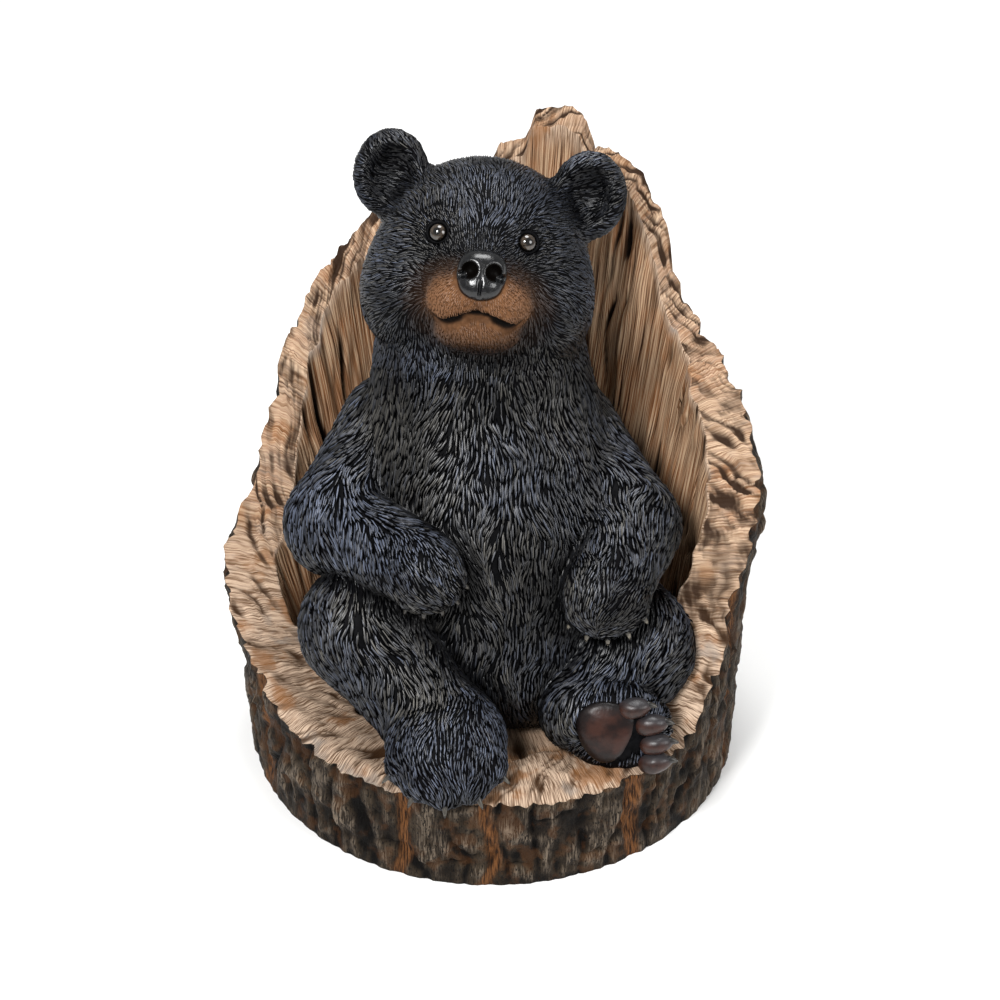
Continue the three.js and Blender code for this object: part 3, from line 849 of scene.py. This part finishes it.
def muzzleReach(points):
    # below 1 on the lips and chin, growing away from them, in the head's frame
    m = mirrored(toHead(points), head["aside"])
    reach = [np.linalg.norm((m - at) / radii, axis=-1) for at, radii in head["tanPlaces"]]
    return np.min(reach, 0) + 0.12 * noise(points / 4, 70)


def tanShare(points):
    # tan paint, thinning to a brown breath over the cheeks
    reach = muzzleReach(points)
    low = step(-31, -45, toHead(points)[:, 1])  # the chin is darker
    return (0.82 * step(1.5, 0.6, reach) + 0.18 * step(2.3, 1.1, reach)) * (1 - 0.35 * low)


def mouthShare(points):
    q = toHead(points)
    share = np.zeros(len(points))
    near = nearMouth(q)
    share[near] = step(3.5, 2.1, alongLine(q[near], head["mouthLine"]))
    return share


def skinPieces():
    cut = lambda p: np.maximum(cubDistance(p), -aboveNeck(p))
    headPoints, headFaces = surfaceNet(cut, *skin["head"])
    rest = lambda p: np.maximum(cubDistance(p), aboveNeck(p))
    bodyPoints, bodyFaces = surfaceNet(rest, *skin["body"])
    for name, points, faces in (("head", headPoints, headFaces), ("body", bodyPoints, bodyFaces)):
        values = dict(tan=tanShare(points), dark=mouthShare(points))
        addPiece(name, points, faces, [paints["skin"]], values)
    return headPoints, bodyPoints


headPoints, bodyPoints = skinPieces()

# fur


fur = dict(
    spacing=dict(muzzle=1.6, head=2.1, paw=2.5, body=2.9),  # between roots
    length=dict(muzzle=4, head=9, paw=9, body=14),
    width=dict(muzzle=1.05, head=1.6, paw=1.9, body=2.5),
    rise=0.68,  # crest height as a share of the width
    sunk=0.5,  # roots and sides lie this far under the skin
    droop=dict(leftForearm=0.9, leftShin=0.5),  # limbs whose fur hangs down more
    brushAndPaintedLight=dict(  # how much grey is brushed on, with painted light on the limbs and painted shade on the trunk, and how warm it is
        face=(0.8, 0.5), head=(0.8, 0.35), arm=(1.15, 0.35),
        trunk=(0.62, 0.65), foot=(1.1, 0.15), leg=(0.95, 0.5),
    ),
    faceArea=((head["aside"], -14, 62), (36, 34, 34)), eyeArea=15,  # short fur: place and radii, reach
    bareNose=((head["aside"], -6, 74), (16, 15, 15)), bareEye=1, bareClaw=5,
    bareSole=dict(middle=-2, radii=(27, 22), depth=-8),
)


def lieOf(points):
    # direction that the fur lies in: each part's own direction, weighted by how near the part is
    parts = cubDistances(points)
    down = np.array((0, -0.1, -1.0))
    nose = onHead((head["aside"], -2, 62))
    q = toHead(points)
    lies = {"trunk": np.stack([0.0035 * points[:, 0], 0 * points[:, 0] - 0.3, 0 * points[:, 0] - 1], -1)}
    for name, (a, b, _, _) in cub["bones"].items():
        lies[name] = unit(np.subtract(b, a).astype(float)) + fur["droop"].get(name, 0.25) * down
    lies["flatFoot"] = np.array((0, -0.75, -0.6))
    lies["raisedFoot"] = cub["raisedFoot"]["turn"] @ np.array((0.1, -1.0, 0.0))
    lies["head"] = unit(points - nose) + 0.25 * step(0, -60, q[:, 1])[:, None] * down
    side = np.sign(q[:, 0])[:, None]
    earOut = side * head["axes"][:, 0] + 0.9 * head["axes"][:, 1]
    inEar = step(3, -2, earDistance(q))[:, None]
    lies["head"] = lies["head"] * (1 - inEar) + earOut * inEar
    total = np.zeros(points.shape)
    for name, lie in lies.items():
        total += np.exp(-np.clip(parts[name], -4, 40) / 3.5)[:, None] * lie
    return total


def combed(points, normals):
    # lie of the fur, turned a little by noise and laid flat on the skin
    lie = unit(lieOf(points))
    lie = unit(lie - (lie * normals).sum(1, keepdims=True) * normals)
    side = np.cross(normals, lie)
    swing = 0.5 * noise(points / 30, 80) + 0.55 * noise(points / 10, 81)
    return unit(lie * np.cos(swing)[:, None] + side * np.sin(swing)[:, None])


def thinned(points, spacing):
    # about one point for each cube of the spacing, picked at random
    order = rng.permutation(len(points))
    cubes = np.floor(points[order] / spacing).astype(np.int64)
    _, first = np.unique(cubes, axis=0, return_index=True)
    return points[order[first]]


def settle(points):
    # moves points onto the skin along its outward direction
    normals = outward(cubDistance, points)
    return points - cubDistance(points)[:, None] * normals, normals


def strands(roots, length, width):
    # each strand is a closed ridge with a root, two three-cornered sections and a tip, laid along the skin
    count = len(roots)
    length = length * (0.65 + 0.75 * rng.random(count))
    width = width * (0.65 + 0.7 * rng.random(count))
    at, normals = settle(roots)
    path, ups, ways = [at], [normals], [combed(at, normals)]
    for share in (0.36, 0.36, 0.28):
        ahead, n = settle(path[-1] + ways[-1] * (share * length)[:, None])
        path.append(ahead)
        ups.append(n)
        ways.append(combed(ahead, n))
    rise, sunk = fur["rise"] * width, fur["sunk"]
    points = [path[0] - sunk * ups[0]]
    for k, wide, high in ((1, 0.5, 0.6), (2, 0.45, 1.1)):
        side = np.cross(ups[k], ways[k]) * (wide * width)[:, None]
        base = path[k] - sunk * ups[k]
        points += [base - side, path[k] + (high * rise)[:, None] * ups[k], base + side]
    points.append(path[3] + (0.85 * rise)[:, None] * ups[3])
    points = np.stack(points, 1)  # strand, corner, xyz: root, left, crest, right, left, crest, right, tip
    triangles = np.array(((0, 2, 1), (0, 3, 2), (0, 1, 3), (4, 5, 7), (5, 6, 7), (6, 4, 7)))
    quads = np.array(((1, 2, 5, 4), (2, 3, 6, 5), (3, 1, 4, 6)))
    starts = 8 * np.arange(count)[:, None, None]
    faces = [(starts + triangles).reshape(-1, 3), (starts + quads).reshape(-1, 4)]
    crest = np.tile((0.15, 0, 1, 0, 0, 1, 0, 0.6), count)
    return points, faces, crest, ups[1]


def growFur(name, groups):
    # groups: roots with a length, a width, how much grey is brushed on (with painted light and shade in it)
    # and how warm it is
    allPoints, allFaces, crest, pale, tan, warm = [], [[], []], [], [], [], []
    start = 0
    for roots, length, width, grey, warmth in groups:
        points, faces, rise, normals = strands(roots, length, width)
        middle = points[:, 2]
        clearOfCreaseShade = np.clip(cubDistance(middle + 15 * normals) / 15, 0, 1)  # painted shade: low in creases, so less grey lands there
        # painted light: more grey where the strand faces the key lamp
        lit = 0.45 + 0.55 * np.clip(normals @ unit(np.array((-0.35, -0.6, 0.75))), 0, 1)
        brushAndPaintedLight = grey * step(0.35, 1.0, clearOfCreaseShade) * lit * (0.2 + 0.9 * rng.random(len(roots)) ** 1.5)
        q = toHead(middle)
        shade = head["earPaintedShade"]
        inEar = np.linalg.norm((mirrored(q) - shade["at"]) / shade["radii"], axis=1)
        brushAndPaintedLight = brushAndPaintedLight * (0.3 + 0.7 * step(0.85, 1.15, inEar))  # painted shade inside the ears' hollows
        brushAndPaintedLight = brushAndPaintedLight * (1 - 0.65 * step(3.6, 1.4, muzzleReach(middle)))  # less grey round the muzzle
        brushAndPaintedLight = np.clip(brushAndPaintedLight * (0.85 + 0.5 * noise(middle / 24, 90)), 0.03, 1)
        allPoints.append(points.reshape(-1, 3))
        for k in (0, 1):
            allFaces[k].append(faces[k] + start)
        crest.append(rise)
        # pale: brushed grey with painted light and painted shade in it
        pale.append(np.repeat(brushAndPaintedLight, 8))
        tan.append(np.repeat(tanShare(middle), 8))
        tone = warmth + 0.8 * noise(middle / 40, 91) + 0.3 * rng.standard_normal(len(roots))
        warm.append(np.repeat(np.clip(tone, 0, 1), 8))
        start += 8 * len(roots)
    values = {k: np.concatenate(v) for k, v in dict(crest=crest, pale=pale, tan=tan, warm=warm).items()}
    faces = [np.concatenate(f) for f in allFaces]
    addPiece(name, np.concatenate(allPoints), faces, [paints["fur"]], values)


def bareShare(points):
    # where no fur grows: nose, eyes, sole, claws, mouth
    q = toHead(points)
    at, radii = fur["bareNose"]
    bare = np.linalg.norm((q - at) / radii, axis=-1) < 1
    for eye in head["eyes"]:
        bare |= np.linalg.norm(q - eye, axis=-1) < head["eyeRadius"] + fur["bareEye"]
    raised, sole = cub["raisedFoot"], fur["bareSole"]
    s = (points - raised["at"]) @ raised["turn"]
    wide, high = sole["radii"]
    bare |= (s[:, 1] < sole["depth"]) & (np.hypot((s[:, 0] - sole["middle"]) / wide, s[:, 2] / high) < 1)
    for fan in fans.values():
        for root, _ in clawRoots(fan):
            bare |= np.linalg.norm(points - root, axis=-1) < fur["bareClaw"]
    near = nearMouth(q)
    bare[near] |= alongLine(q[near], head["mouthLine"]) < head["mouthBare"]
    return bare


def furPieces():
    onHeadSkin, onBodySkin = aboveNeck(headPoints) > 0.5, aboveNeck(bodyPoints) < -0.5
    points = np.concatenate([headPoints[onHeadSkin], bodyPoints[onBodySkin]])
    points = points[~insideStump(points, 2.0) & ~bareShare(points)]
    parts = cubDistances(points)
    q = toHead(points)
    at, radii = fur["faceArea"]
    onFace = np.linalg.norm((q - at) / radii, axis=-1) < 1
    for eye in head["eyes"]:
        onFace |= np.linalg.norm(q - eye, axis=-1) < fur["eyeArea"]
    isHead = aboveNeck(points) > 0
    paws = np.minimum(parts["flatFoot"], parts["raisedFoot"])
    for name in ("leftForearm", "rightForearm"):
        paws = np.minimum(paws, np.linalg.norm(points - np.array(cub["bones"][name][1]), axis=1) - 30)
    isPaw = ~isHead & (paws < 2)
    legs = np.min([parts[n] for n in parts if n.endswith(("Thigh", "Shin", "Foot"))], 0)
    arms = np.min([parts[n] for n in cub["bones"] if "rm" in n], 0)
    isLeg = ~isHead & (legs < np.minimum(parts["trunk"], arms))
    isArm = ~isHead & ~isLeg & (arms < parts["trunk"])

    def group(mask, kind, part):
        roots = thinned(points[mask], fur["spacing"][kind])
        return roots, fur["length"][kind], fur["width"][kind], *fur["brushAndPaintedLight"][part]

    growFur("face_fur", [group(isHead & onFace, "muzzle", "face")])
    growFur("head_fur", [group(isHead & ~onFace, "head", "head")])
    growFur("body_fur", [
        group(isArm & isPaw, "paw", "arm"), group(isArm & ~isPaw, "body", "arm"),
        group(~isHead & ~isLeg & ~isArm, "body", "trunk"),
    ])
    growFur("leg_fur", [group(isLeg & isPaw, "paw", "foot"), group(isLeg & ~isPaw, "body", "leg")])


furPieces()

# face


def nosePiece():
    # rounded block with two dull black nostrils and a broad lobe below them
    nose = dict(
        at=(head["aside"], -6, 70), radii=np.array((14.6, 14.3, 13)), power=2.6,
        lobe=((0, -14.5, 77.5), (10.5, 6.5, 6)),
        nostril=((7.4, -4.3, 83), (4.9, 4.9, 8)),
        slit=((12.5, -7.5, 79), (4, 2.2, 6)),
        groove=0.9, grooveDepth=84.5,
        box=((-18, -28, 50), (22, 14, 92)), cell=0.55,
    )

    def distance(q):
        p = (q - np.array(nose["at"])) / nose["radii"]
        d = ((np.abs(p) ** nose["power"]).sum(-1) ** (1 / nose["power"]) - 1) * nose["radii"].min()
        m = mirrored(q, head["aside"])
        d = melt(d, egg(m, *nose["lobe"]), 5)
        d = carve(d, egg(m, *nose["nostril"]), 1.6)
        d = carve(d, egg(m, *nose["slit"]), 2)
        inward = q[..., 2] - nose["grooveDepth"] + 0.25 * np.maximum(-q[..., 1] - 8, 0)
        return carve(d, np.hypot(m[..., 0], inward) - nose["groove"], 1.5)

    points, faces = surfaceNet(distance, *nose["box"], nose["cell"])
    inside = egg(mirrored(points[faces].mean(1), head["aside"]), *nose["nostril"]) < 0.5
    values = dict(tan=np.zeros(len(points)), dark=np.ones(len(points)))
    addPiece("nose", onHead(points), faces, [paints["nose"], paints["skin"]], values, inside)


def sphereGrid(rows, columns):
    # unit sphere: angles down from +Z and round it, with its two poles last
    down = np.pi * np.arange(1, rows) / rows
    around = 2 * np.pi * np.arange(columns) / columns
    d, a = np.meshgrid(down, around, indexing="ij")
    points = np.stack([np.sin(d) * np.cos(a), np.sin(d) * np.sin(a), np.cos(d)], -1).reshape(-1, 3)
    points = np.concatenate([points, [(0, 0, 1), (0, 0, -1)]])
    last = (rows - 2) * columns + np.arange(columns)
    top, bottom = len(points) - 2, len(points) - 1
    ends = [poleFaces(top, np.arange(columns)), poleFaces(bottom, last, True)]
    return points, [ringFaces(rows - 1, columns)[:, ::-1], *ends]


def eyePieces():
    # glass ball that looks out of the face, with a lid ring of resin round it
    lids = dict(ring=6.2, wide=1.04, rise=2.1, cornerRise=0.5, thick=0.9, swell=0.25, gaze=(0.25, 0.12))
    ball, ballFaces = sphereGrid(28, 40)
    rows, columns = 64, 12
    i, j = np.meshgrid(np.arange(rows), np.arange(columns), indexing="ij")
    t, a = 2 * np.pi * i / rows, 2 * np.pi * j / columns
    for name, eye in zip(("left", "right"), head["eyes"]):
        gaze = unit(np.array((lids["gaze"][0] * np.sign(eye[0]), lids["gaze"][1], 1.0)))
        side = unit(np.cross((0, 1, 0), gaze))
        axes = np.stack([side, np.cross(gaze, side), gaze], 1)
        fromPupil = np.hypot(ball[:, 0], ball[:, 1])
        iris = step(0.35, 0.45, fromPupil) * step(0.8, 0.7, fromPupil) * (ball[:, 2] > 0)
        points = onHead(ball * head["eyeRadius"] @ axes.T + eye)
        addPiece(
            name + "_glass_eye", points, ballFaces, [paints["eye"]], dict(iris=iris),
            stands=name + "_eye",
        )
        thick = lids["thick"] + lids["swell"] * np.sin(t)
        ring = lids["ring"] + thick * np.cos(a)
        rise = lids["rise"] + thick * np.sin(a) + lids["cornerRise"] * np.cos(t) ** 2
        lid = np.stack([ring * np.cos(t) * lids["wide"], ring * np.sin(t), rise], -1).reshape(-1, 3)
        steps = ((0, 0), (1, 0), (1, 1), (0, 1))
        corners = [((i + di) % rows) * columns + (j + dj) % columns for di, dj in steps]
        faces = np.stack(corners, -1).reshape(-1, 4)
        values = dict(tan=np.zeros(len(lid)), dark=np.zeros(len(lid)))
        addPiece(name + "_eyelid", onHead(lid @ axes.T + eye), faces, [paints["skin"]], values)


nosePiece()
eyePieces()

# feet and claws


foot = dict(
    pad=dict(at=(-6, -13, 0), radii=(18, 6.5, 19.5)),
    toes=((11, 16), (22, 6), (25, -6), (25, -18)),
    toeOut=-13, toeRadii=(10.5, 7, 6.6), toeRise=-12,
    claw=5.5, clawRadius=2.3, clawTip=0.12,
    clawPlace=((8.5, -1, 1), (1, -0.1, 0), (0, 0, -1)),  # root on the toe, the way it points and how it hooks
    fanOut=1.5, fanHook=(0, 0.1, -1),  # claws of the other paws
)


def soleAndToes():
    # the sole's pad is a flattened egg, wider towards one end; toes are beans in a bowed row
    sole, at = cub["raisedFoot"]["turn"], np.array(cub["raisedFoot"]["at"], float)
    ball, faces = sphereGrid(48, 64)
    pad = ball * np.array(foot["pad"]["radii"])
    pad[:, 0] *= 1 + 0.012 * pad[:, 2]
    pad[:, 1] += 0.5 * roughNoise(pad / 9, 100, 2)
    rim = step(0.72, 1.0, np.hypot(ball[:, 0], ball[:, 2]))
    addPiece("sole_pad", (pad + foot["pad"]["at"]) @ sole.T + at, faces, [paints["pad"]], dict(edge=rim))
    toeTurn = sole @ turned(y=foot["toeRise"])
    ball, faces = sphereGrid(24, 32)
    for k, (along, up) in enumerate(foot["toes"]):
        toe = ball * np.array(foot["toeRadii"])
        toe[:, 2] *= 1 - 0.015 * toe[:, 0]
        toe = toe + 0.35 * roughNoise(toe / 5 + 7 * k, 101, 2)[:, None] * ball
        place = np.array((along, foot["toeOut"], up)) @ sole.T + at
        # painted highlight: grey on the toe's top
        top = step(-0.1, 0.8, ball[:, 2] + 0.4 * ball[:, 0])
        addPiece("toe_%d" % (k + 1), toe @ toeTurn.T + place, faces, [paints["toe"]], dict(edge=top))
        root, way, hook = (toeTurn @ np.array(v) for v in foot["clawPlace"])
        addClaw("toe_claw_%d" % (k + 1), place + root, way, hook, foot["clawTip"], foot["claw"])


def addClaw(name, root, way, hook, tip, length):
    # bent cone: circles that shrink along an arc which hooks over at the end
    rows, columns = 14, 14
    way, hook = unit(np.asarray(way, float)), unit(np.asarray(hook, float))
    side = unit(np.cross(way, hook))
    t = np.linspace(0, 1, rows)[:, None]
    spine = root + length * (t * way + 0.35 * t**2 * hook)
    radius = foot["clawRadius"] * np.sqrt(np.clip(1 - t**1.6, 0, 1)) * (1 - 0.25 * t)
    a = 2 * np.pi * np.arange(columns) / columns
    circle = np.cos(a)[:, None] * side + 1.15 * np.sin(a)[:, None] * hook
    points = spine[:-1, None] + radius[:-1, :, None] * circle
    points = np.concatenate([points.reshape(-1, 3), spine[-1:], spine[:1] - 0.5 * way])
    last = (rows - 2) * columns + np.arange(columns)
    ends = [poleFaces(len(points) - 2, last, True), poleFaces(len(points) - 1, np.arange(columns))]
    faces = [ringFaces(rows - 1, columns), *ends]
    share = np.concatenate([np.repeat(t[:-1, 0], columns), (1, 0)])
    addPiece(name, points, faces, [paints["claw"]], dict(tip=tip * step(0.2, 0.9, share)))


def clawFans():
    for name, fan in fans.items():
        for k, (root, out) in enumerate(clawRoots(fan)):
            clawName = "%s_claw_%d" % (name, k + 1)
            addClaw(clawName, root + foot["fanOut"] * out, out, foot["fanHook"], fan["tip"], fan["claw"])


soleAndToes()
clawFans()
print("cub finished")

# studio


studio = dict(
    target=(0.005, -0.016, 0.190), elevation=36, distance=1.5, focal=1.5 / 0.62, sensor=36,
    lamps=(  # name, place and size in metres, watts
        ("key", (-0.8, -1.3, 1.9), 0.7, 56),
        ("fill", (1.4, -0.9, 1.2), 1.0, 18),
        ("top", (0.1, 0.5, 1.9), 0.9, 22),
    ),
    lampAim=(0, 0, 0.18), room=0.42, floorHalf=6.0,
)


def addCamera():
    e = np.radians(studio["elevation"])
    target = np.array(studio["target"])
    away = np.array((0, -np.cos(e), np.sin(e)))
    data = bpy.data.cameras.new("camera")
    data.sensor_width = studio["sensor"]
    data.lens = studio["focal"] * studio["sensor"]  # focal is in widths of the picture
    camera = bpy.data.objects.new("camera", data)
    camera.location = target + studio["distance"] * away
    camera.rotation_euler = Vector(-away).to_track_quat("-Z", "Y").to_euler()
    bpy.context.scene.collection.objects.link(camera)
    bpy.context.scene.camera = camera


def addLight(name, place, size, power):
    data = bpy.data.lights.new(name, "AREA")
    data.shape, data.size, data.energy = "DISK", size, power
    lamp = bpy.data.objects.new(name, data)
    lamp.location = place
    aim = Vector(studio["lampAim"]) - Vector(place)
    lamp.rotation_euler = aim.to_track_quat("-Z", "Y").to_euler()
    bpy.context.scene.collection.objects.link(lamp)


def addStage():
    half = studio["floorHalf"]
    mesh = bpy.data.meshes.new("floor")
    corners = [(-half, -half, 0), (half, -half, 0), (half, half, 0), (-half, half, 0)]
    mesh.from_pydata(corners, [], [(0, 1, 2, 3)])
    paper, _, _ = startMaterial("matt white paper", {"Roughness": 0.9, "Base Color": linear("#f4f4f3")})
    mesh.materials.append(paper)
    floor = bpy.data.objects.new("floor", mesh)
    bpy.context.scene.collection.objects.link(floor)
    world = bpy.data.worlds.new("soft white room")
    world.use_nodes = True
    world.node_tree.nodes["Background"].inputs["Color"].default_value = linear("#ffffff")
    world.node_tree.nodes["Background"].inputs["Strength"].default_value = studio["room"]
    bpy.context.scene.world = world
    bpy.context.scene.view_settings.view_transform = "Standard"


addCamera()
for lamp in studio["lamps"]:
    addLight(*lamp)
addStage()
print("studio set")
